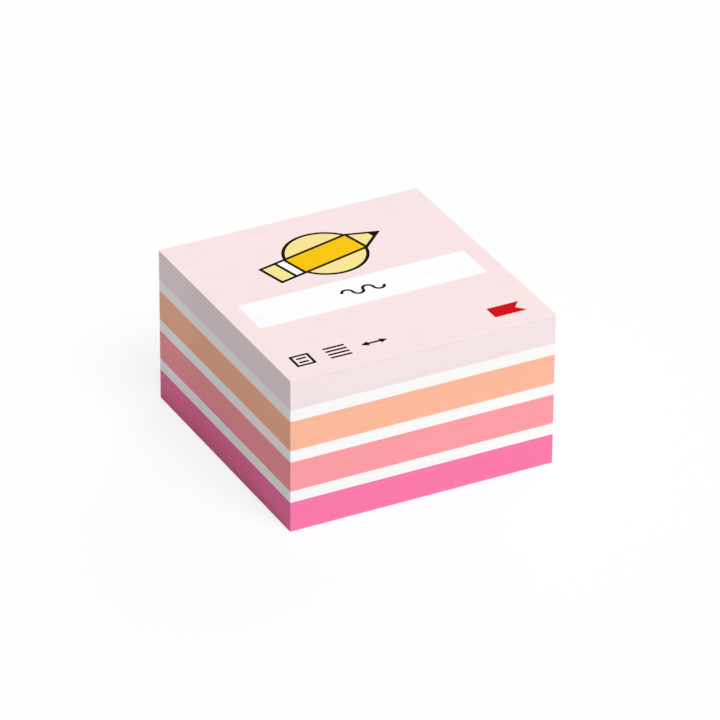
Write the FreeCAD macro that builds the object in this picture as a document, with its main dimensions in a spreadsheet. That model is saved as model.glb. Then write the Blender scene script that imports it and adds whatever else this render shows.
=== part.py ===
# A cube of sticky notes: a square block of loose paper notes in four colours with thin white runs
# between them, held along its back edge by the strip of low-tack glue on the back of every note.
#
# The block stands on its base. X runs across a note, Y from its free edge at the front to its glued
# edge at the back, and Z up the stack. The origin is the middle of the base. Sizes are millimetres.
import FreeCAD, Part

import os

import Sketcher

PARTS_FOLDER = "parts"
VOLUME_SLACK = 1e-6

# Alias, value and meaning of every size that can be set by itself.
SIZES = [
    ("NoteWidth", 76, "a note from its left edge to its right edge"),
    ("NoteLength", 76, "a note from its free edge to its glued edge"),
    ("NoteThickness", 0.098, "one sheet of note paper"),
    ("NotesPerColour", 87, "notes in each coloured run"),
    ("NotesPerWhite", 34, "notes in each white run"),
    ("BackingThickness", 0.12, "the release sheet under the last note"),
    ("GlueWidth", 19, "the glue strip, measured from the glued edge"),
    ("GlueThickness", 0.02, "the glue strip's film"),
    ("InkThickness", 0.02, "depth of the print in the cover sheet"),
    ("LineStroke", 0.9, "black outlines of the badge and the pencil"),
    ("BadgeMargin", 9.5, "from the glued edge to the round badge"),
    ("BadgeDiameter", 23, "the round badge over its outline"),
    ("PanelGap", 3.2, "from the badge to the white panel"),
    ("PanelHeight", 13.1, "the white panel, front to back"),
    ("PanelMargin", 5.2, "from each side edge to the white panel"),
    ("PencilLength", 38, "the drawn pencil from end to point"),
    ("PencilWidth", 9.6, "the drawn pencil over its outline"),
    ("PencilTilt", 14, "turn of the pencil, in degrees"),
    ("PointLength", 8.5, "sharpened end of the pencil"),
    ("LeadLength", 3.4, "black lead at the pencil's point"),
    ("EraserLength", 4, "eraser at the pencil's end"),
    ("FerruleLength", 2.2, "band that holds the eraser"),
    ("WaveRadius", 1.5, "middle of each half ring of the pen stroke"),
    ("WaveStroke", 0.8, "width of the pen stroke"),
    ("WaveCount", 4, "half rings in the pen stroke"),
    ("SymbolSize", 5.5, "height of the three small symbols"),
    ("SymbolStroke", 0.75, "line width in the small symbols"),
    ("SymbolPitch", 9.6, "step from one small symbol to the next"),
    ("SymbolMargin", 4.8, "from the left edge to the first symbol"),
    ("PrintRise", 5.4, "from the free edge to the symbols and the flag"),
    ("SheafBars", 4, "bars in the small sheaf symbol"),
    ("SheafWidth", 6, "the bars of the sheaf symbol, left to right"),
    ("ArrowSpan", 7.7, "the small double arrow from point to point"),
    ("ArrowHead", 2.2, "each head of the double arrow, along and across"),
    ("FlagLength", 9.3, "the small red flag"),
    ("FlagHeight", 4.9, "the small red flag, front to back"),
    ("FlagNotch", 2.2, "depth of the flag's cut end"),
    ("FlagMargin", 5.4, "from the right edge to the flag"),
]

# The runs from the base up: name of the run and the alias of its number of notes.
RUNS = [
    ("hot_pink_notes", "NotesPerColour"),
    ("lower_white_notes", "NotesPerWhite"),
    ("coral_notes", "NotesPerColour"),
    ("middle_white_notes", "NotesPerWhite"),
    ("peach_notes", "NotesPerColour"),
    ("upper_white_notes", "NotesPerWhite"),
    ("pale_pink_notes", "NotesPerColour"),
]

doc = FreeCAD.newDocument("StickyNoteCube")
sheet = doc.addObject("Spreadsheet::Sheet", "Sizes")
for row, (alias, value, meaning) in enumerate(SIZES, start=1):
    sheet.set(f"A{row}", meaning)
    sheet.set(f"B{row}", str(value))
    sheet.setAlias(f"B{row}", alias)
doc.recompute()


def size(alias):
    """The present value of a size, for counts and first positions."""
    return float(sheet.get(alias))


def use_sizes(expression):
    """An expression in which each alias is written as the sheet's own property."""
    for alias, _, _ in SIZES:
        expression = expression.replace(f"<{alias}>", f"Sizes.{alias}")
    return expression


def bind(thing, **sizes):
    """Binds properties to expressions. Underscores in a name stand for dots, as in Placement_Base_z."""
    for name, expression in sizes.items():
        thing.setExpression(name.replace("_", "."), use_sizes(expression))


# Sheets, runs and glue strips

def origin_plane(body, role):
    return next(part for part in body.Origin.OriginFeatures if part.Role == role)


def rectangle(body, name, width, length):
    """A rectangle on the body's XY plane, centred from side to side, that ends at the glued edge."""
    sketch = body.newObject("Sketcher::SketchObject", name)
    sketch.AttachmentSupport = [(origin_plane(body, "XY_Plane"), "")]
    sketch.MapMode = "FlatFace"
    corners = [(-10, 10), (10, 10), (10, 20), (-10, 20)]
    points = [FreeCAD.Vector(x, y, 0) for x, y in corners]
    for start, end in zip(points, points[1:] + points[:1]):
        sketch.addGeometry(Part.LineSegment(start, end), False)
    front, right, back, left = range(4)
    origin = -1
    for one, other in ((front, right), (right, back), (back, left), (left, front)):
        sketch.addConstraint(Sketcher.Constraint("Coincident", one, 2, other, 1))
    for side in (front, back):
        sketch.addConstraint(Sketcher.Constraint("Horizontal", side))
    for side in (right, left):
        sketch.addConstraint(Sketcher.Constraint("Vertical", side))
    dimensions = [
        (Sketcher.Constraint("DistanceX", front, 1, front, 2, 20), width),
        (Sketcher.Constraint("DistanceY", right, 1, right, 2, 10), length),
        (Sketcher.Constraint("DistanceX", origin, 1, right, 1, 10), f"({width}) / 2"),
        (Sketcher.Constraint("DistanceY", origin, 1, back, 1, 20), "<NoteLength> / 2"),
    ]
    for constraint, expression in dimensions:
        index = sketch.addConstraint(constraint)
        sketch.setExpression(f"Constraints[{index}]", use_sizes(expression))
    return sketch


def pad(body, sketch, name, height):
    feature = body.newObject("PartDesign::Pad", name)
    feature.Profile = sketch
    bind(feature, Length=height)
    sketch.Visibility = False
    return feature


def glue_outline(body):
    return rectangle(body, "GlueOutline", "<NoteWidth>", "<GlueWidth>")


def new_body(label, base_height):
    body = doc.addObject("PartDesign::Body", label)
    body.Label = label
    bind(body, Placement_Base_z=base_height)
    return body


def note_stack(label, height, base_height, glued=True):
    """One solid of stacked sheets. Its underside has the shallow bed that the glue strip fills."""
    body = new_body(label, base_height)
    pad(body, rectangle(body, "SheetOutline", "<NoteWidth>", "<NoteLength>"), "Stack", height)
    doc.recompute()
    if glued:
        before = body.Shape.Volume
        bed = body.newObject("PartDesign::Pocket", "GlueBed")
        bed.Profile = glue_outline(body)
        bed.Reversed = True
        bind(bed, Length="<GlueThickness>")
        doc.recompute()
        wanted = size("NoteWidth") * size("GlueWidth") * size("GlueThickness")
        assert abs(before - body.Shape.Volume - wanted) < VOLUME_SLACK * before, label
    return body


def glue_strip(label, base_height):
    """The film of low-tack glue on the back of the last note above."""
    body = new_body(label, base_height)
    pad(body, glue_outline(body), "Film", "<GlueThickness>")
    return body


# Print on the cover sheet. Every colour is a thin film let into the paper, flush with its top.

def turned(angle):
    return FreeCAD.Placement(FreeCAD.Vector(), FreeCAD.Rotation(FreeCAD.Vector(0, 0, 1), angle))


def film(kind, name, **sizes):
    """A flat primitive as thick as the ink."""
    feature = doc.addObject(kind, name)
    bind(feature, Height="<InkThickness>", **sizes)
    return feature


def block(name, length, width, left="0", front="0"):
    """A rectangle of ink with its left and front edges at the given places."""
    return film("Part::Box", name, Length=length, Width=width, Placement_Base_x=left, Placement_Base_y=front)


def disc(name, radius):
    return film("Part::Cylinder", name, Radius=radius)


def taper(name, length, base, end, base_at, middle="0", quarter_turn=-90):
    """Ink that narrows from width base at base_at to width end: to the right, or to the left at +90."""
    feature = doc.addObject("Part::Wedge", name)
    feature.Placement = turned(quarter_turn)
    bind(
        feature,
        Xmin=f"-({base}) / 2", Xmax=f"({base}) / 2", X2min=f"-({end}) / 2", X2max=f"({end}) / 2",
        Ymin="0", Ymax=length, Zmin="0", Z2min="0", Zmax="<InkThickness>", Z2max="<InkThickness>",
        Placement_Base_x=base_at, Placement_Base_y=middle,
    )
    return feature


def joined(name, *features):
    result = doc.addObject("Part::MultiFuse", name)
    result.Shapes = list(features)
    result.Refine = True
    return result


def without(name, base, *tools):
    """base with the tools cut out of it."""
    result = doc.addObject("Part::Cut", name)
    result.Base = base
    result.Tool = tools[0] if len(tools) == 1 else joined(f"{name}Tools", *tools)
    return result


def placed(feature, x="0", y="0"):
    """Moves a feature on the sheet."""
    bind(feature, Placement_Base_x=x, Placement_Base_y=y)
    return feature


BACK_EDGE = "<NoteLength> / 2"
FRONT_EDGE = "-<NoteLength> / 2"
LEFT_EDGE = "-<NoteWidth> / 2"
RIGHT_EDGE = "<NoteWidth> / 2"
BADGE_Y = f"{BACK_EDGE} - <BadgeMargin> - <BadgeDiameter> / 2"
PANEL_BACK = f"{BADGE_Y} - <BadgeDiameter> / 2 - <PanelGap>"
PANEL_FRONT = f"{PANEL_BACK} - <PanelHeight>"
PRINT_FRONT = f"{FRONT_EDGE} + <PrintRise>"


def on_badge(feature):
    """The feature turned by the pencil's tilt and moved to the middle of the badge."""
    held = doc.addObject("Part::Compound", f"{feature.Name}OnBadge")
    held.Links = [feature]
    held.Placement = turned(size("PencilTilt"))
    bind(held, Placement_Rotation_Angle="<PencilTilt>")
    return placed(held, y=BADGE_Y)


def pencil():
    """The whole pencil, its outline and the four fields inside it, each in place across the badge."""
    end = "-<PencilLength> / 2"
    shoulder = "<PencilLength> / 2 - <PointLength>"
    field_width = "(<PencilWidth> - 2 * <LineStroke>)"
    field_front = f"-{field_width} / 2"
    eraser_end = f"{end} + <LineStroke> + <EraserLength>"
    ferrule_start = f"{eraser_end} + <LineStroke>"
    ferrule_end = f"{ferrule_start} + <FerruleLength>"
    barrel_start = f"{ferrule_end} + <LineStroke>"
    wood_start = f"{shoulder} + <LineStroke> / 2"
    slanted_stroke = "<LineStroke> * sqrt(1 + (<PencilWidth> / 2 / <PointLength>) ^ 2)"
    wood_width = f"(<PencilWidth> * (1 - <LineStroke> / 2 / <PointLength>) - 2 * {slanted_stroke})"
    wood_length = f"{wood_width} * <PointLength> / <PencilWidth>"
    whole = joined(
        "PencilWhole",
        block("PencilShaft", f"({shoulder}) - ({end})", "<PencilWidth>", end, "-<PencilWidth> / 2"),
        taper("PencilPoint", "<PointLength>", "<PencilWidth>", "0", shoulder),
    )
    eraser = block("EraserField", "<EraserLength>", field_width, f"{end} + <LineStroke>", field_front)
    ferrule = block("FerruleField", "<FerruleLength>", field_width, ferrule_start, field_front)
    barrel = block("BarrelField", f"({shoulder}) - <LineStroke> / 2 - ({barrel_start})", field_width,
                   barrel_start, field_front)
    wood = without(
        "WoodField",
        taper("WoodPoint", wood_length, wood_width, "0", wood_start),
        block("LeadTip", "<LeadLength>", "<PencilWidth>", "<PencilLength> / 2 - <LeadLength>",
              "-<PencilWidth> / 2"),
    )
    outline = without("PencilOutline", whole, eraser, ferrule, barrel, wood)
    return [on_badge(feature) for feature in (whole, outline, eraser, ferrule, barrel, wood)]


def pen_stroke():
    """A wavy line of half rings on the white panel, which stands for writing."""
    count = int(size("WaveCount"))
    rings = []
    for index in range(count):
        outer = disc(f"WaveOuter{index}", "<WaveRadius> + <WaveStroke> / 2")
        inner = disc(f"WaveInner{index}", "<WaveRadius> - <WaveStroke> / 2")
        outer.Angle = inner.Angle = 180
        ring = without(f"HalfRing{index}", outer, inner)
        ring.Placement = turned(180 * (index % 2))
        bind(ring, Placement_Base_x=f"(2 * {index} + 1 - <WaveCount>) * <WaveRadius>")
        rings.append(ring)
    return placed(joined("PenStroke", *rings), y=f"({PANEL_BACK}) - <PanelHeight> / 2")


def note_symbol():
    """A square note with two written lines."""
    inner = "(<SymbolSize> - 2 * <SymbolStroke>)"
    rim = without(
        "NoteSymbolRim",
        block("NoteSymbolSquare", "<SymbolSize>", "<SymbolSize>"),
        block("NoteSymbolHollow", inner, inner, "<SymbolStroke>", "<SymbolStroke>"),
    )
    lines = [block(f"NoteSymbolLine{index}", "<SymbolSize> / 2", "<SymbolStroke>", "<SymbolSize> / 4",
                   f"<SymbolSize> * {index} / 3 - <SymbolStroke> / 2") for index in (1, 2)]
    return joined("NoteSymbol", rim, *lines)


def sheaf_symbol():
    """Bars one above another, which stand for a pile of sheets."""
    step = "(<SymbolSize> - <SymbolStroke>) / (<SheafBars> - 1)"
    bars = [block(f"SheafBar{index}", "<SheafWidth>", "<SymbolStroke>", "0", f"{index} * {step}")
            for index in range(int(size("SheafBars")))]
    return joined("SheafSymbol", *bars)


def width_symbol():
    """A line with an arrowhead at each end, which stands for a width."""
    head = "<ArrowHead>"
    middle = "<SymbolSize> / 2"
    shaft = block("ArrowShaft", f"<ArrowSpan> - {head}", "<SymbolStroke>", f"{head} / 2",
                  f"{middle} - <SymbolStroke> / 2")
    left_head = taper("ArrowLeft", head, head, "0", head, middle, quarter_turn=90)
    right_head = taper("ArrowRight", head, head, "0", f"<ArrowSpan> - {head}", middle)
    return joined("WidthSymbol", shaft, left_head, right_head)


def red_flag():
    """A small page marker with a V cut into its right end."""
    body = block("FlagBody", "<FlagLength>", "<FlagHeight>")
    notch = taper("FlagNotchCut", "<FlagNotch>", "<FlagHeight>", "0", "<FlagLength>", "<FlagHeight> / 2",
                  quarter_turn=90)
    flag = without("Flag", body, notch)
    return placed(flag, x=f"{RIGHT_EDGE} - <FlagMargin> - <FlagLength>", y=PRINT_FRONT)


def print_films():
    """The five printed colours. Where two would meet, the darker one takes the place."""
    silhouette, outline, eraser, ferrule, barrel, wood = pencil()
    badge = placed(disc("BadgeDisc", "<BadgeDiameter> / 2"), y=BADGE_Y)
    badge_inside = placed(disc("BadgeInside", "<BadgeDiameter> / 2 - <LineStroke>"), y=BADGE_Y)
    badge_ring = without("BadgeRing", badge, badge_inside, silhouette)
    badge_field = without("BadgeField", badge_inside, silhouette)
    symbols = [note_symbol(), sheaf_symbol(), width_symbol()]
    for index, symbol in enumerate(symbols):
        placed(symbol, x=f"{LEFT_EDGE} + <SymbolMargin> + {index} * <SymbolPitch>", y=PRINT_FRONT)
    black = joined("BlackPrint", badge_ring, outline, pen_stroke(), *symbols)
    panel = block("Panel", "<NoteWidth> - 2 * <PanelMargin>", "<PanelHeight>",
                  f"{LEFT_EDGE} + <PanelMargin>", PANEL_FRONT)
    red = without("RedPrint", red_flag(), black)
    deep_yellow = without("DeepYellowPrint", barrel, black, red)
    pale_fields = joined("PaleFields", badge_field, eraser, wood)
    pale_yellow = without("PaleYellowPrint", pale_fields, black, red, deep_yellow)
    white_fields = joined("WhiteFields", panel, ferrule)
    white = without("WhitePrint", white_fields, black, red, deep_yellow, pale_yellow)
    return {
        "black_print": black,
        "red_print": red,
        "deep_yellow_print": deep_yellow,
        "pale_yellow_print": pale_yellow,
        "white_print": white,
    }


# The block from the base up

level = "<BackingThickness>"
subparts = [note_stack("backing_sheet", level, "0", glued=False)]
for run, count in RUNS + [("cover_sheet", None)]:
    height = f"<{count}> * <NoteThickness>" if count else "<NoteThickness>"
    subparts.append(note_stack(run, height, level))
    subparts.append(glue_strip(f"glue_under_{run}", level))
    level = f"{level} + {height}"

print_level = f"{level} - <InkThickness>"
inks = []
for label, flat_film in print_films().items():
    ink = doc.addObject("Part::Compound", label)
    ink.Links = [flat_film]
    ink.Label = label
    bind(ink, Placement_Base_z=print_level)
    inks.append(ink)
plain_cover = next(part for part in subparts if part.Label == "cover_sheet")
plain_cover.Label = "plain_cover"
printed_cover = without("PrintedCover", plain_cover, *inks)
printed_cover.Label = "cover_sheet"
subparts[subparts.index(plain_cover)] = printed_cover
subparts += inks
doc.recompute()

# Checks and files

for thing in doc.Objects:
    assert not {"Invalid", "Error"} & set(thing.State), f"{thing.Label}: {thing.State}"
for part in subparts:
    assert not part.Shape.isNull() and part.Shape.isValid() and part.Shape.Solids, part.Label
os.makedirs(PARTS_FOLDER, exist_ok=True)
for part in subparts:
    part.Shape.exportStep(os.path.join(PARTS_FOLDER, f"{part.Label}.step"))
    box = part.Shape.BoundBox
    print(f"{part.Label:32s} {len(part.Shape.Solids)} solids, {part.Shape.Volume:10.3f} mm3, "
          f"z {box.ZMin:.3f} to {box.ZMax:.3f}")
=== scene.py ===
"""Sticky note cube: seven runs of loose paper notes, a printed top sheet, a release sheet and glue strips.

The cube stands on its base. All lengths are in metres. X runs across a note, Y from its free edge to its
glued edge, and Z up the stack.
"""
import math
import random
from functools import cached_property
from typing import NamedTuple

import bpy
from mathutils import Matrix, Vector


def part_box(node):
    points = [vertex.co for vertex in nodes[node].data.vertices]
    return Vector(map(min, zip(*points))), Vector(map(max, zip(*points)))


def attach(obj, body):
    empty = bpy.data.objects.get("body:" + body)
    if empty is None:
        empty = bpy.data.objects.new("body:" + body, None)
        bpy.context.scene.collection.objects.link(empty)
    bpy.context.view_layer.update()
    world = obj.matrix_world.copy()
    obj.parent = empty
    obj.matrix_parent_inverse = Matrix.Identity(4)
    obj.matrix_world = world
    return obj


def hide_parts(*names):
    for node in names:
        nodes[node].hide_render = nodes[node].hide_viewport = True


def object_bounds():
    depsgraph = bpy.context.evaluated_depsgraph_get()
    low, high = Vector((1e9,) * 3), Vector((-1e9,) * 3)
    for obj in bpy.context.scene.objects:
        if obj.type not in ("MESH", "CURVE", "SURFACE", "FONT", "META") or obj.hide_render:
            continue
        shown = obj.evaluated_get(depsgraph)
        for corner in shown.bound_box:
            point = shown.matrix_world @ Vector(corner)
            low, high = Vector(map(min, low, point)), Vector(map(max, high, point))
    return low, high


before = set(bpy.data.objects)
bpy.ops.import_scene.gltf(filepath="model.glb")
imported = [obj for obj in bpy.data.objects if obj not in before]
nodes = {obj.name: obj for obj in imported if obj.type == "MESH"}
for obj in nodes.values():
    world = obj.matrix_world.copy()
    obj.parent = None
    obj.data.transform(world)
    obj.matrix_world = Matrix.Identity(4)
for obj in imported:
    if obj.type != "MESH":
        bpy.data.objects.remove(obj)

bl_info = {
    "name": "Sticky Note Cube",
    "version": (1, 0, 0),
    "blender": (4, 5, 0),
    "location": "3D View > Sidebar > Note Cube",
    "description": "A cube of sticky notes with every sheet's edge, paper, ink and glue",
    "category": "Add Mesh",
}

cad_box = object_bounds()

WHITE = (1, 1, 1, 1)

# Starts the random draws, so that the sheets lie alike each time.
SEED = 76

# Each run of notes and the paper that it is cut from, from the table up.
RUN_PAPERS = {
    "hot_pink": "hot_pink",
    "lower_white": "white",
    "coral": "coral",
    "middle_white": "white",
    "peach": "peach",
    "upper_white": "white",
    "pale_pink": "pale_pink",
}
GLUE_STRIPS = [f"glue_under_{run}_notes" for run in RUN_PAPERS] + ["glue_under_cover_sheet"]

# The fewest and the most sheets of a lift, which the knife cuts together.
SHEETS_IN_A_LIFT = (3, 14)

# The power that leaves most single sheets close to the cut face, and a few of them further back.
SCATTER_POWER = 3

# The length of the wave that the knife leaves along a cut edge, and how far, in radians, the wave has
# drifted from one sheet to the next.
CUT_WAVE_LENGTH = 48e-3
CUT_WAVE_DRIFT = 0.05

# The share of a loose sheet's play that the glue leaves to it.
HELD_LOOSENESS = 0.7

# In shares of a sheet's height: two points this close are one, and a height may be out by this rounding.
SAME_POINT = 0.02
ROUNDING = 0.001


class Pattern(NamedTuple):
    """Soft noise: its patches to a metre, how much finer it is along each axis, its detail, how rough that
    detail is, and the range of values over which it fades in, if it has one."""
    patches: float
    stretch: tuple = (1, 1, 1)
    detail: float = 2
    roughness: float = 0.5
    fade: tuple = None


# Paper seen on its face.
FIBRES_ALONG = Pattern(2600, (0.35, 1.3, 1), detail=4, roughness=0.65)
FIBRES_ACROSS = Pattern(2080, (1.2, 0.3, 1), detail=4, roughness=0.65)
CLOUDS = Pattern(140, detail=3)
SPECKS = Pattern(5200, detail=1, fade=(0.66, 0.74))
FACE_CONTRAST = (0.32, 0.68)
COVER_MOTTLE = 0.05
RELEASE_MOTTLE = 0.07
PAPER_GLOSS = 0.20
RELEASE_GLOSS = 0.50

# The painted highlight, a pale rim round a sheet's cut edges: over what distance it fades out, and how far
# it wanders.
HIGHLIGHT_RAGGEDNESS = Pattern(900, detail=3)
HIGHLIGHT_FADE = (0.02e-3, 0.22e-3)
HIGHLIGHT_WANDER = 0.25e-3

# Paper seen on its cut edges: fibres, lifts of sheets, the knife's upright marks and paper dust.
EDGE_FIBRES = Pattern(5200, (1, 1, 1.6), detail=4, roughness=0.7)
LIFT_TONES = Pattern(1, (0, 0, 780))
KNIFE_MARKS = Pattern(1, (1500, 1500, 26), detail=3, roughness=0.6)
DUST = Pattern(2400, (1, 1, 0.45), fade=(0.68, 0.76))
EDGE_CONTRAST = (0.25, 0.75)
EDGE_GLOSS = 0.08

# The front of the glue between two sheets: over what distance it fades in, and how far it wanders.
GLUE_RAGGEDNESS = Pattern(900)
GLUE_FADE = (0.2e-3, 1.8e-3)
GLUE_WANDER = 2e-3

# The film of glue under a run.
GLUE_BEADS = Pattern(2100)
GLUE_CONTRAST = (0.35, 0.65)
GLUE_ROUGHNESS = 0.50
GLUE_GLOSS = 0.50

# Ink. An ink's finish is how much smoother than bare fibres it is, and its specular level. The last two are
# the brightness of the paper behind a pinhole in the ink, and the share of it that shows.
INK_CLOUDS = Pattern(224, detail=3)
PINHOLES = Pattern(6400, detail=1, fade=(0.70, 0.76))
INK_CONTRAST = (0.30, 0.70)
INK_FINISHES = {
    "black": (0.30, 0.02),
    "red": (0.38, 0.03),
    "deep_yellow": (0.38, 0.03),
    "pale_yellow": (0.34, 0.03),
    "white": (0.30, 0.30),
}
BARE_PAPER = 0.9
BARE_SHARE = 0.10

# How high fibres, a cut edge and ink stand in relief, and how much of that shows.
FACE_RELIEF = (0.018e-3, 0.55)
EDGE_RELIEF = (0.012e-3, 0.6)
INK_RELIEF = (0.010e-3, 0.5)

# The map that textures are drawn on, in shares of its width: the border round each patch, the height that
# the row of one side takes, and the patch of a run's hidden top or bottom.
MAP_BORDER = 0.01
MAP_ROW = 0.235
MAP_END = 0.04

# The picture's width, and how far right of and above its middle the cube's middle stands, in pixels.
PICTURE_PIXELS = 720
PICTURE_OFFSET = (-5.0, 3.7)

# The floor lies a hair under the base. The last value is the share of it that looks plain white.
FLOOR_GAP = 0.02e-3
FLOOR_CLOUDS = Pattern(3)
FLOOR_ROUGHNESS = 0.9
FLOOR_GLOSS = 0.1
FLOOR_WHITENESS = 0.8

# Where the lamps stand, seen from the cube, and how wide each looks from there, in degrees.
KEY_TOWARDS = (0.08, -0.48, 0.71)
KEY_WIDTH = 38
FILL_TOWARDS = (0.30, 0.22, 0.15)
FILL_WIDTH = 50
LAMP_DISTANCE = 2


# Sizes, colours and levels that a user may change

def length(name, description, default):
    return bpy.props.FloatProperty(
        name=name, description=description, default=default, min=0, precision=6, unit="LENGTH")


def colour(name, description, default):
    return bpy.props.FloatVectorProperty(
        name=name, description=description, default=default, min=0, max=1, size=3, subtype="COLOR")


def share(name, description, default):
    return bpy.props.FloatProperty(
        name=name, description=description, default=default, min=0, max=1, subtype="FACTOR")


def angle(name, description, degrees):
    return bpy.props.FloatProperty(
        name=name, description=description, default=math.radians(degrees), subtype="ANGLE",
        unit="ROTATION")


def amount(name, description, default):
    return bpy.props.FloatProperty(name=name, description=description, default=default, min=0)


class NoteCubeSheets(bpy.types.PropertyGroup):
    """Sizes of the sheets and of their cut edges."""
    thickness: length("Sheet Thickness", "Thickness of one note", 0.098e-3)
    groove_depth: length("Groove Depth", "How far the gap between two sheets reaches in", 0.018e-3)
    groove_height: length("Groove Height", "Height of the gap between two rounded edges", 0.026e-3)
    sheet_scatter: length("Sheet Scatter", "How far single sheets lie back from the cut face", 0.030e-3)
    lift_scatter: length("Lift Scatter", "How far lifts of sheets lie back from the cut face", 0.022e-3)
    cut_wave: length("Cut Wave", "Depth of the gentle wave along a cut edge", 0.008e-3)
    glue_width: length("Glue Width", "Glue between two sheets, from the glued edge", 19e-3)
    glue_fill: share("Glue Fill", "Share of a gap's depth that the glue fills", 0.5)
    side_steps: bpy.props.IntProperty(
        name="Side Steps", description="Lengths that each edge of a sheet is divided into", default=10,
        min=2)


class NoteCubePapers(bpy.types.PropertyGroup):
    """Colours of the papers and the glue."""
    pale_pink: colour("Pale Pink", "Notes of the top run", (0.912, 0.795, 0.816))
    peach: colour("Peach", "Notes of the second coloured run", (0.968, 0.516, 0.355))
    coral: colour("Coral", "Notes of the third coloured run", (0.958, 0.366, 0.400))
    hot_pink: colour("Hot Pink", "Notes of the bottom run", (0.925, 0.213, 0.430))
    white: colour("White", "Notes of the thin runs", (0.955, 0.958, 0.955))
    cover: colour("Cover", "Top sheet", (0.940, 0.774, 0.784))
    backing: colour("Backing", "Release sheet under the last note", (0.790, 0.770, 0.710))
    glue: colour("Glue", "Dried low-tack glue", (0.850, 0.840, 0.730))


class NoteCubeInks(bpy.types.PropertyGroup):
    """Colours of the print on the top sheet."""
    black: colour("Black", "Outlines and small symbols", (0.002, 0.002, 0.002))
    red: colour("Red", "Page marker", (0.650, 0.001, 0.003))
    deep_yellow: colour("Deep Yellow", "Barrel of the pencil", (0.945, 0.562, 0.001))
    pale_yellow: colour("Pale Yellow", "Badge behind the pencil", (0.945, 0.785, 0.298))
    white: colour("White", "Panel across the sheet", (0.970, 0.973, 0.970))


class NoteCubeStage(bpy.types.PropertyGroup):
    """The floor, the light and the camera."""
    floor_size: length("Floor Size", "Width of the pale floor", 8.0)
    floor_colour: colour("Floor", "Pale studio floor", (0.950, 0.950, 0.950))
    key_level: amount("Key Level", "What the main light gives a surface that faces it", 0.85)
    fill_level: amount("Fill Level", "What the light from behind gives a surface that faces it", 0.40)
    sky_level: amount("Sky Level", "Brightness of the even light from all round", 0.16)
    camera_distance: length("Camera Distance", "From the middle of the cube to the camera", 1.5)
    camera_turn: angle("Camera Turn", "Angle round the cube, from its front", -27.60)
    camera_rise: angle("Camera Rise", "Angle above the floor", 29.95)
    camera_roll: angle("Camera Roll", "Turn of the picture", 0.41)
    focal_pixels: amount("Focal Length", "Focal length in pixels of the picture", 5775.2)


GROUPS = {
    "note_cube_sheets": NoteCubeSheets,
    "note_cube_papers": NoteCubePapers,
    "note_cube_inks": NoteCubeInks,
    "note_cube_stage": NoteCubeStage,
}


# Shader maths

class Value:
    """A number that varies over a surface, for use in expressions."""

    def __init__(self, graph, socket):
        self.graph = graph
        self.socket = socket

    def maths(self, operation, *others):
        return self.graph.maths(operation, self, *others)

    def __add__(self, other):
        return self.maths("ADD", other)

    def __mul__(self, other):
        return self.maths("MULTIPLY", other)

    def __sub__(self, other):
        return self.maths("SUBTRACT", other)

    def __rsub__(self, other):
        return self.graph.maths("SUBTRACT", other, self)

    def __truediv__(self, other):
        return self.maths("DIVIDE", other)

    def __rtruediv__(self, other):
        return self.graph.maths("DIVIDE", other, self)

    def __abs__(self):
        return self.maths("ABSOLUTE")

    __radd__ = __add__
    __rmul__ = __mul__

    def ramp(self, low, high):
        """0 at low, 1 at high and a smooth rise between them."""
        node = self.graph.add("ShaderNodeMapRange", {"interpolation_type": "SMOOTHSTEP"}, {
            "Value": self, "From Min": low, "From Max": high})
        return Value(self.graph, node.outputs["Result"])


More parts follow.
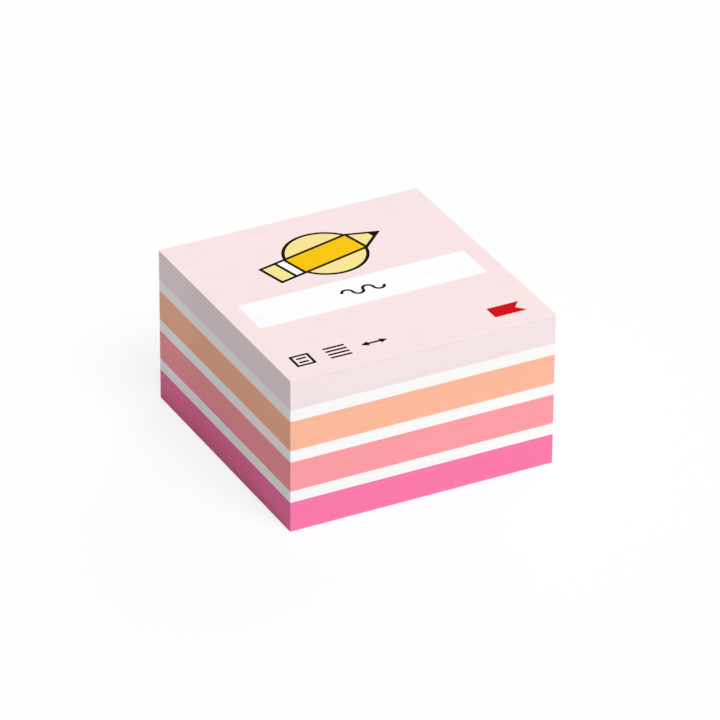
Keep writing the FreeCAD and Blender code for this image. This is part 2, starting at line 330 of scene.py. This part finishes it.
class Graph:
    """The nodes of a material or of the world."""

    def __init__(self, owner, shader="Principled BSDF", output="Material Output"):
        owner.use_nodes = True
        self.owner = owner
        self.tree = owner.node_tree
        self.shader = self.tree.nodes[shader]
        self.output = self.tree.nodes[output]

    @cached_property
    def place(self):
        """The surface point, in metres from the middle of the base."""
        return self.add("ShaderNodeTexCoord").outputs["Object"]

    def add(self, kind, settings=None, inputs=None):
        """A node of a kind. Its settings are made first, then its sockets get their numbers or links."""
        node = self.tree.nodes.new(kind)
        for name, setting in (settings or {}).items():
            setattr(node, name, setting)
        for name, given in (inputs or {}).items():
            self.feed(node.inputs[name], given)
        return node

    def feed(self, socket, given):
        given = given.socket if isinstance(given, Value) else given
        if isinstance(given, bpy.types.NodeSocket):
            self.tree.links.new(given, socket)
        else:
            socket.default_value = given

    def maths(self, operation, *terms):
        node = self.add("ShaderNodeMath", {"operation": operation}, dict(enumerate(terms)))
        return Value(self, node.outputs["Value"])

    def axes(self):
        """The X, Y and Z of the surface point."""
        node = self.add("ShaderNodeSeparateXYZ", inputs={"Vector": self.place})
        return [Value(self, node.outputs[axis]) for axis in "XYZ"]

    def noise(self, pattern):
        """A pattern, from 0 to 1."""
        place = self.add("ShaderNodeMapping", inputs={"Vector": self.place, "Scale": pattern.stretch})
        node = self.add("ShaderNodeTexNoise", inputs={
            "Vector": place.outputs["Vector"], "Scale": pattern.patches, "Detail": pattern.detail,
            "Roughness": pattern.roughness})
        value = Value(self, node.outputs["Fac"])
        return value.ramp(*pattern.fade) if pattern.fade else value

    def white_noise(self, number):
        """A number from 0 to 1 that differs from one whole number to the next."""
        node = self.add("ShaderNodeTexWhiteNoise", {"noise_dimensions": "1D"}, {"W": number})
        return Value(self, node.outputs["Value"])

    def mixed(self, part, first, second):
        """The first colour where part is 0 and the second where it is 1."""
        node = self.add("ShaderNodeMix", {"data_type": "RGBA"}, {"Factor": part})
        colours = [socket for socket in node.inputs if socket.type == "RGBA"]
        for socket, given in zip(colours, (first, second)):
            self.feed(socket, given)
        return next(socket for socket in node.outputs if socket.type == "RGBA")

    def bump(self, height, relief):
        """Fine relief, from its height at each point, with how high it stands and how much of that shows."""
        distance, strength = relief
        node = self.add("ShaderNodeBump", inputs={
            "Height": height, "Distance": distance, "Strength": strength})
        self.feed(self.shader.inputs["Normal"], node.outputs["Normal"])

    def surface(self, base, roughness, gloss):
        """The finished material, with its colour, its roughness and its specular level."""
        self.feed(self.shader.inputs["Base Color"], base)
        self.feed(self.shader.inputs["Roughness"], roughness)
        self.shader.inputs["Specular IOR Level"].default_value = gloss
        return self.owner

    def show_white(self, kind, part):
        """Shows a part of this as plain white to the camera, mirrors and glass, by a node of a kind."""
        light_path = self.add("ShaderNodeLightPath").outputs
        seen = Value(self, light_path["Is Camera Ray"])
        for ray in ("Is Glossy Ray", "Is Transmission Ray"):
            seen = seen.maths("MAXIMUM", light_path[ray])
        white = self.add(kind, inputs={"Color": WHITE, "Strength": 1.0})
        mix = self.add("ShaderNodeMixShader", inputs={
            0: seen * part, 1: self.shader.outputs[0], 2: white.outputs[0]})
        self.feed(self.output.inputs["Surface"], mix.outputs["Shader"])


def new_finish(name):
    return Graph(bpy.data.materials.new(name))


def toned(tint, factor=1.0, warmth=0.0):
    """A colour made lighter or darker, with a little more red and less blue for warmth."""
    red, green, blue = (part * factor for part in tint)
    return (min(red * (1 + warmth), 1), min(green, 1), min(blue * (1 - warmth), 1), 1)


# Papers, inks and glue

def paper_fibres(graph):
    """Fine crossed fibres, from 0 to 1."""
    return graph.noise(FIBRES_ALONG) * 0.55 + graph.noise(FIBRES_ACROSS) * 0.45


def flat_paper(name, tint, highlight_tint, half_size, mottle, gloss):
    """Uncoated paper seen on its face, with a painted highlight as a paler rim round its cut edges."""
    graph = new_finish(name)
    fibres = paper_fibres(graph)
    specks = graph.noise(SPECKS)
    tone = (fibres * 0.75 + graph.noise(CLOUDS) * 0.25).ramp(*FACE_CONTRAST)
    base = graph.mixed(tone, toned(tint, 1 - mottle, 0.004), toned(tint, 1 + mottle * 0.5))
    base = graph.mixed(specks * 0.12, base, toned(tint, 0.80, 0.03))
    # Painted highlight: the rim along the sheet's edges is paler, as if the edges caught the light.
    across, along, _ = graph.axes()
    half_width, half_length, _ = half_size
    from_edge = (half_width - abs(across)).maths("MINIMUM", half_length - abs(along))
    wander = graph.noise(HIGHLIGHT_RAGGEDNESS) * HIGHLIGHT_WANDER
    rim = 1 - (from_edge - wander).ramp(*HIGHLIGHT_FADE)
    base = graph.mixed(rim * 0.3, base, toned(highlight_tint))
    graph.bump(fibres + specks * 0.3, FACE_RELIEF)
    return graph.surface(base, fibres * 0.14 + 0.76, gloss)


def cut_paper(name, tint, glue_tint, run, sheets):
    """Paper seen on its cut edges: each sheet has its own tone, and the knife left faint upright marks.

    Painted shade darkens the gap between two sheets, half as much near the glued edge, where it holds glue.
    """
    graph = new_finish(name)
    _, along, up = graph.axes()
    level = (up - run.low.z) / run.pitch
    sheet = level.maths("FLOOR")
    half_gap = sheets.groove_height / run.pitch / 2
    gap = abs(level - sheet - 0.5).ramp(0.5 - half_gap * 1.4, 0.5 - half_gap * 0.4)
    wander = graph.noise(GLUE_RAGGEDNESS) * GLUE_WANDER
    glued = (along + wander - (run.high.y - sheets.glue_width)).ramp(*GLUE_FADE)
    own_tone = graph.white_noise(sheet + run.sheets_below)
    fibres = graph.noise(EDGE_FIBRES)
    marks = graph.noise(KNIFE_MARKS)
    tone = own_tone * 0.26 + graph.noise(LIFT_TONES) * 0.34 + fibres * 0.22 + marks * 0.18
    base = graph.mixed(tone.ramp(*EDGE_CONTRAST), toned(tint, 0.955, 0.004), toned(tint, 1.022))
    base = graph.mixed(graph.noise(DUST) * 0.16, base, toned(tint, 1.08))
    # Painted shade in the gap between sheets, half as deep where glue fills it.
    base = graph.mixed(gap * (1 - glued * 0.5) * 0.6, base, toned(tint, 0.86, 0.01))
    base = graph.mixed(gap * glued * 0.06, base, toned(glue_tint))
    graph.bump(fibres * 0.7 + marks * 0.3 + own_tone * 0.15, EDGE_RELIEF)
    return graph.surface(base, 0.92 - tone * 0.16, EDGE_GLOSS)


def ink(name, tint, smoothness, gloss):
    """Ink on paper: slightly uneven where the fibres take less of it, and smoother than bare paper."""
    graph = new_finish(name)
    fibres = paper_fibres(graph)
    tone = (fibres * 0.7 + graph.noise(INK_CLOUDS) * 0.3).ramp(*INK_CONTRAST)
    base = graph.mixed(tone, toned(tint, 0.94), toned(tint, 1.036))
    paler = [part + (BARE_PAPER - part) * BARE_SHARE for part in tint]
    base = graph.mixed(graph.noise(PINHOLES) * 0.25, base, toned(paler))
    graph.bump(fibres, INK_RELIEF)
    return graph.surface(base, 1 - smoothness + fibres * 0.10, gloss)


def dried_glue(name, tint):
    """Beads of low-tack glue, seen at the cut edges as a cream line that is too thin for a relief."""
    graph = new_finish(name)
    beads = graph.noise(GLUE_BEADS).ramp(*GLUE_CONTRAST)
    base = graph.mixed(beads, toned(tint, 0.93, 0.01), toned(tint, 1.05))
    return graph.surface(base, GLUE_ROUGHNESS, GLUE_GLOSS)


# Making and shaping

class Run(NamedTuple):
    """Where a run of notes stands: its lowest and highest corners, its sheets and the sheets below it."""
    low: Vector
    high: Vector
    count: int
    sheets_below: int

    @property
    def pitch(self):
        """The height that one sheet takes up."""
        return (self.high.z - self.low.z) / self.count


def start_editing():
    bpy.ops.object.mode_set(mode="EDIT")


def stop_editing():
    bpy.ops.object.mode_set(mode="OBJECT")


def select_nothing():
    if bpy.context.mode != "OBJECT":
        stop_editing()
    bpy.ops.object.select_all(action="DESELECT")


def pull_up(height, size, new_size):
    """Extrudes the selected rim up by a height, and widens or narrows it to its new size."""
    bpy.ops.mesh.extrude_edges_move(TRANSFORM_OT_translate={"value": (0, 0, height)})
    bpy.ops.transform.resize(
        value=(new_size.x / size.x, new_size.y / size.y, 1), center_override=(0, 0, 0))


def sheet_rim(run, sheets):
    """The rim of one sheet as a band: in at the gap below, full size at its edge, in again above."""
    full = run.high - run.low
    inner = full - Vector((2, 2, 0)) * sheets.groove_depth
    bpy.ops.mesh.primitive_plane_add(size=1, location=(0, 0, 0))
    start_editing()
    bpy.ops.transform.resize(value=(inner.x, inner.y, 1), center_override=(0, 0, 0))
    bpy.ops.transform.translate(value=(0, 0, run.low.z))
    bpy.ops.mesh.delete(type="ONLY_FACE")
    bpy.ops.mesh.select_all(action="SELECT")
    bpy.ops.mesh.subdivide(number_cuts=sheets.side_steps - 1)
    slope = sheets.groove_height / 2
    pull_up(slope, inner, full)
    pull_up(run.pitch - 2 * slope, full, full)
    pull_up(slope, full, inner)
    stop_editing()
    return bpy.context.object


def stack(rim, run):
    """Repeats the rim up the run and closes both ends."""
    array = rim.modifiers.new("Sheets", "ARRAY")
    array.count = run.count
    array.use_relative_offset = False
    array.use_constant_offset = True
    array.constant_offset_displace = (0, 0, run.pitch)
    array.use_merge_vertices = True
    array.merge_threshold = run.pitch * SAME_POINT
    bpy.ops.object.modifier_apply(modifier=array.name)
    start_editing()
    bpy.ops.mesh.select_all(action="SELECT")
    bpy.ops.mesh.fill_holes(sides=0)
    bpy.ops.mesh.select_all(action="SELECT")
    bpy.ops.mesh.normals_make_consistent(inside=False)
    stop_editing()


def lift_offsets(draw, count):
    """For each sheet, how far back its lift lies, from 0 to 1. A lift is a few sheets cut together."""
    offsets = []
    while len(offsets) < count:
        offsets += [draw.random()] * draw.randint(*SHEETS_IN_A_LIFT)
    return offsets[:count]


def moved_in(position, half_size, distance):
    """A place on one axis after a move towards the middle, full at the cut face and none in the middle."""
    return position - math.copysign(distance * min(1, abs(position) / half_size), position)


def settle(piece, run, sheets, draw):
    """Moves each sheet's edges back from the cut face by its own small amounts, as loose sheets lie.

    Near the glued edge the sheets lie closer, and the glue fills part of the gap between two of them.
    """
    sides = ("left", "right", "front", "back")
    lifts = {side: lift_offsets(draw, run.count) for side in sides}
    singles = {side: [draw.random() ** SCATTER_POWER for _ in range(run.count)] for side in sides}
    phases = {side: draw.uniform(0, math.tau) for side in sides}
    half_width, half_length, _ = run.high

    def back_by(side, sheet, place):
        wave = math.sin(phases[side] + place * math.tau / CUT_WAVE_LENGTH + sheet * CUT_WAVE_DRIFT)
        return (lifts[side][sheet] * sheets.lift_scatter
                + singles[side][sheet] * sheets.sheet_scatter
                + (wave + 1) / 2 * sheets.cut_wave)

    for vertex in piece.data.vertices:
        x, y, z = vertex.co
        sheet = min(int((z - run.low.z) / run.pitch + ROUNDING), run.count - 1)
        in_gap = min(half_width - abs(x), half_length - abs(y)) > sheets.groove_depth / 2
        glued = y > half_length - sheets.glue_width
        looseness = HELD_LOOSENESS if glued else 1
        fill = sheets.groove_depth * sheets.glue_fill if glued and in_gap else 0
        across = back_by("left" if x < 0 else "right", sheet, y)
        along = back_by("front" if y < 0 else "back", sheet, x)
        vertex.co.x = moved_in(x, half_width, across * looseness - fill)
        vertex.co.y = moved_in(y, half_length, along * looseness - fill)


def side_patch(normal):
    """Where a side's faces lie on the map: the row's corner and size, and the axes that go right and up."""
    facing = 0 if abs(normal.x) > abs(normal.y) else 1
    row = 2 * facing + (normal[facing] > 0)
    corner = (MAP_BORDER, MAP_BORDER + row * MAP_ROW)
    return corner, (1 - 2 * MAP_BORDER, MAP_ROW - MAP_BORDER), (1 - facing, 2)


def end_patch(normal):
    """Where a run's hidden top or bottom lies on the map, above the rows of its four sides."""
    column = int(normal.z > 0)
    corner = (MAP_BORDER + (MAP_END + MAP_BORDER) * column, MAP_BORDER + 4 * MAP_ROW)
    return corner, (MAP_END, MAP_END), (0, 1)


def lay_out(piece, run):
    """Lays the sides and ends on the map that textures are drawn on. An end has more than four corners."""
    layer = piece.data.uv_layers.new(name="OFBake")
    size = run.high - run.low
    for face in piece.data.polygons:
        patch_of = end_patch if len(face.vertices) > 4 else side_patch
        corner, patch, (right, up) = patch_of(face.normal)
        for loop in face.loop_indices:
            place = piece.data.vertices[piece.data.loops[loop].vertex_index].co - run.low
            layer.data[loop].uv = (
                corner[0] + patch[0] * place[right] / size[right],
                corner[1] + patch[1] * place[up] / size[up])


def finish_piece(piece, name, node, material):
    piece.name = piece.data.name = name
    piece.data.materials.clear()
    piece.data.materials.append(material)
    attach(piece, "root")
    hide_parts(node)


def dress(node, material):
    """Gives a node of the frame its finish."""
    for slot in nodes[node].material_slots:
        slot.material = material


class NOTECUBE_OT_note_runs(bpy.types.Operator):
    """Build the seven runs of notes, with the edge of every sheet"""
    bl_idname = "notecube.note_runs"
    bl_label = "Note Runs"

    def execute(self, context):
        sheets = context.scene.note_cube_sheets
        papers = context.scene.note_cube_papers
        draw = random.Random(SEED)
        sheets_below = 0
        for name, paper in RUN_PAPERS.items():
            node = f"{name}_notes"
            low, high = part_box(node)
            run = Run(low, high, round((high.z - low.z) / sheets.thickness), sheets_below)
            select_nothing()
            piece = sheet_rim(run, sheets)
            stack(piece, run)
            settle(piece, run, sheets, draw)
            lay_out(piece, run)
            material = cut_paper(f"{name}_paper", getattr(papers, paper), papers.glue, run, sheets)
            finish_piece(piece, f"{name}_sheets", node, material)
            sheets_below += run.count
        return {"FINISHED"}


class NOTECUBE_OT_top_and_base(bpy.types.Operator):
    """Give the printed top sheet and the release sheet their paper"""
    bl_idname = "notecube.top_and_base"
    bl_label = "Top Sheet and Release Sheet"

    def execute(self, context):
        papers = context.scene.note_cube_papers
        _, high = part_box("cover_sheet")
        dress("cover_sheet", flat_paper(
            "cover_paper", papers.cover, papers.white, high, COVER_MOTTLE, PAPER_GLOSS))
        dress("backing_sheet", flat_paper(
            "release_paper", papers.backing, papers.white, high, RELEASE_MOTTLE, RELEASE_GLOSS))
        return {"FINISHED"}


class NOTECUBE_OT_glue(bpy.types.Operator):
    """Give the glue strips their dried glue"""
    bl_idname = "notecube.glue"
    bl_label = "Glue Strips"

    def execute(self, context):
        glue = dried_glue("dried_glue", context.scene.note_cube_papers.glue)
        for strip in GLUE_STRIPS:
            dress(strip, glue)
        return {"FINISHED"}


class NOTECUBE_OT_print(bpy.types.Operator):
    """Give the print on the top sheet its inks"""
    bl_idname = "notecube.print"
    bl_label = "Print"

    def execute(self, context):
        inks = context.scene.note_cube_inks
        for name, (smoothness, gloss) in INK_FINISHES.items():
            dress(f"{name}_print", ink(f"{name}_ink", getattr(inks, name), smoothness, gloss))
        return {"FINISHED"}


# The stage

def studio_floor(stage):
    """A plain pale floor that keeps the cube's shadow."""
    select_nothing()
    bpy.ops.mesh.primitive_plane_add(size=stage.floor_size, location=(0, 0, -FLOOR_GAP))
    floor = bpy.context.object
    floor.name = "floor"
    graph = new_finish("studio_floor")
    clouds = graph.noise(FLOOR_CLOUDS)
    base = graph.mixed(clouds, toned(stage.floor_colour, 0.995), toned(stage.floor_colour, 1.005))
    floor.data.materials.append(graph.surface(base, FLOOR_ROUGHNESS, FLOOR_GLOSS))
    graph.show_white("ShaderNodeEmission", FLOOR_WHITENESS)


def sun(name, towards, level, width):
    """A distant lamp. A matt white surface that faces it gets this level of light from it."""
    select_nothing()
    bpy.ops.object.light_add(type="SUN", location=Vector(towards) * LAMP_DISTANCE)
    lamp = bpy.context.object
    lamp.name = name
    lamp.rotation_euler = Vector(towards).to_track_quat("Z", "Y").to_euler()
    lamp.data.energy = level * math.pi
    lamp.data.angle = math.radians(width)


def sky(scene, level):
    """Even light from all round, from a backdrop that looks plain white."""
    scene.world = bpy.data.worlds.new("studio_sky")
    graph = Graph(scene.world, "Background", "World Output")
    graph.feed(graph.shader.inputs["Color"], WHITE)
    graph.feed(graph.shader.inputs["Strength"], level)
    graph.show_white("ShaderNodeBackground", 1)


def camera(scene, stage, middle):
    """A camera that sees the cube from its front left corner, as the photograph does."""
    turn, rise, roll = stage.camera_turn, stage.camera_rise, stage.camera_roll
    back = Vector((math.sin(turn) * math.cos(rise), -math.cos(turn) * math.cos(rise), math.sin(rise)))
    level_right = Vector((math.cos(turn), math.sin(turn), 0))
    level_up = back.cross(level_right)
    right = level_right * math.cos(roll) + level_up * math.sin(roll)
    up = level_up * math.cos(roll) - level_right * math.sin(roll)
    metres_per_pixel = stage.camera_distance / stage.focal_pixels
    place = middle + back * stage.camera_distance
    place -= (right * PICTURE_OFFSET[0] + up * PICTURE_OFFSET[1]) * metres_per_pixel
    select_nothing()
    bpy.ops.object.camera_add()
    eye = bpy.context.object
    eye.matrix_world = Matrix.Translation(place) @ Matrix((right, up, back)).transposed().to_4x4()
    eye.data.lens = stage.focal_pixels / PICTURE_PIXELS * eye.data.sensor_width
    scene.camera = eye


class NOTECUBE_OT_stage(bpy.types.Operator):
    """Set up the floor, the light and the camera"""
    bl_idname = "notecube.stage"
    bl_label = "Stage"

    def execute(self, context):
        scene = context.scene
        stage = scene.note_cube_stage
        studio_floor(stage)
        sun("key_light", KEY_TOWARDS, stage.key_level, KEY_WIDTH)
        sun("fill_light", FILL_TOWARDS, stage.fill_level, FILL_WIDTH)
        sky(scene, stage.sky_level)
        low, high = cad_box
        camera(scene, stage, (Vector(low) + Vector(high)) / 2)
        scene.view_settings.view_transform = "Standard"
        return {"FINISHED"}


OPERATORS = (
    NOTECUBE_OT_note_runs,
    NOTECUBE_OT_top_and_base,
    NOTECUBE_OT_glue,
    NOTECUBE_OT_print,
    NOTECUBE_OT_stage,
)


class NOTECUBE_PT_sidebar(bpy.types.Panel):
    """Sizes, colours and steps of the note cube"""
    bl_idname = "NOTECUBE_PT_sidebar"
    bl_label = "Note Cube"
    bl_space_type = "VIEW_3D"
    bl_region_type = "UI"
    bl_category = "Note Cube"

    def draw(self, context):
        for group in GROUPS:
            values = getattr(context.scene, group)
            box = self.layout.box()
            for name in values.bl_rna.properties.keys():
                if name not in ("rna_type", "name"):
                    box.prop(values, name)
        for operator in OPERATORS:
            self.layout.operator(operator.bl_idname)


CLASSES = (*GROUPS.values(), *OPERATORS, NOTECUBE_PT_sidebar)


def register():
    for each in CLASSES:
        bpy.utils.register_class(each)
    for name, group in GROUPS.items():
        setattr(bpy.types.Scene, name, bpy.props.PointerProperty(type=group))


def unregister():
    for name in GROUPS:
        delattr(bpy.types.Scene, name)
    for each in reversed(CLASSES):
        bpy.utils.unregister_class(each)


def main():
    register()
    bpy.ops.notecube.note_runs()
    bpy.ops.notecube.top_and_base()
    bpy.ops.notecube.glue()
    bpy.ops.notecube.print()
    bpy.ops.notecube.stage()


if __name__ == "__main__":
    main()
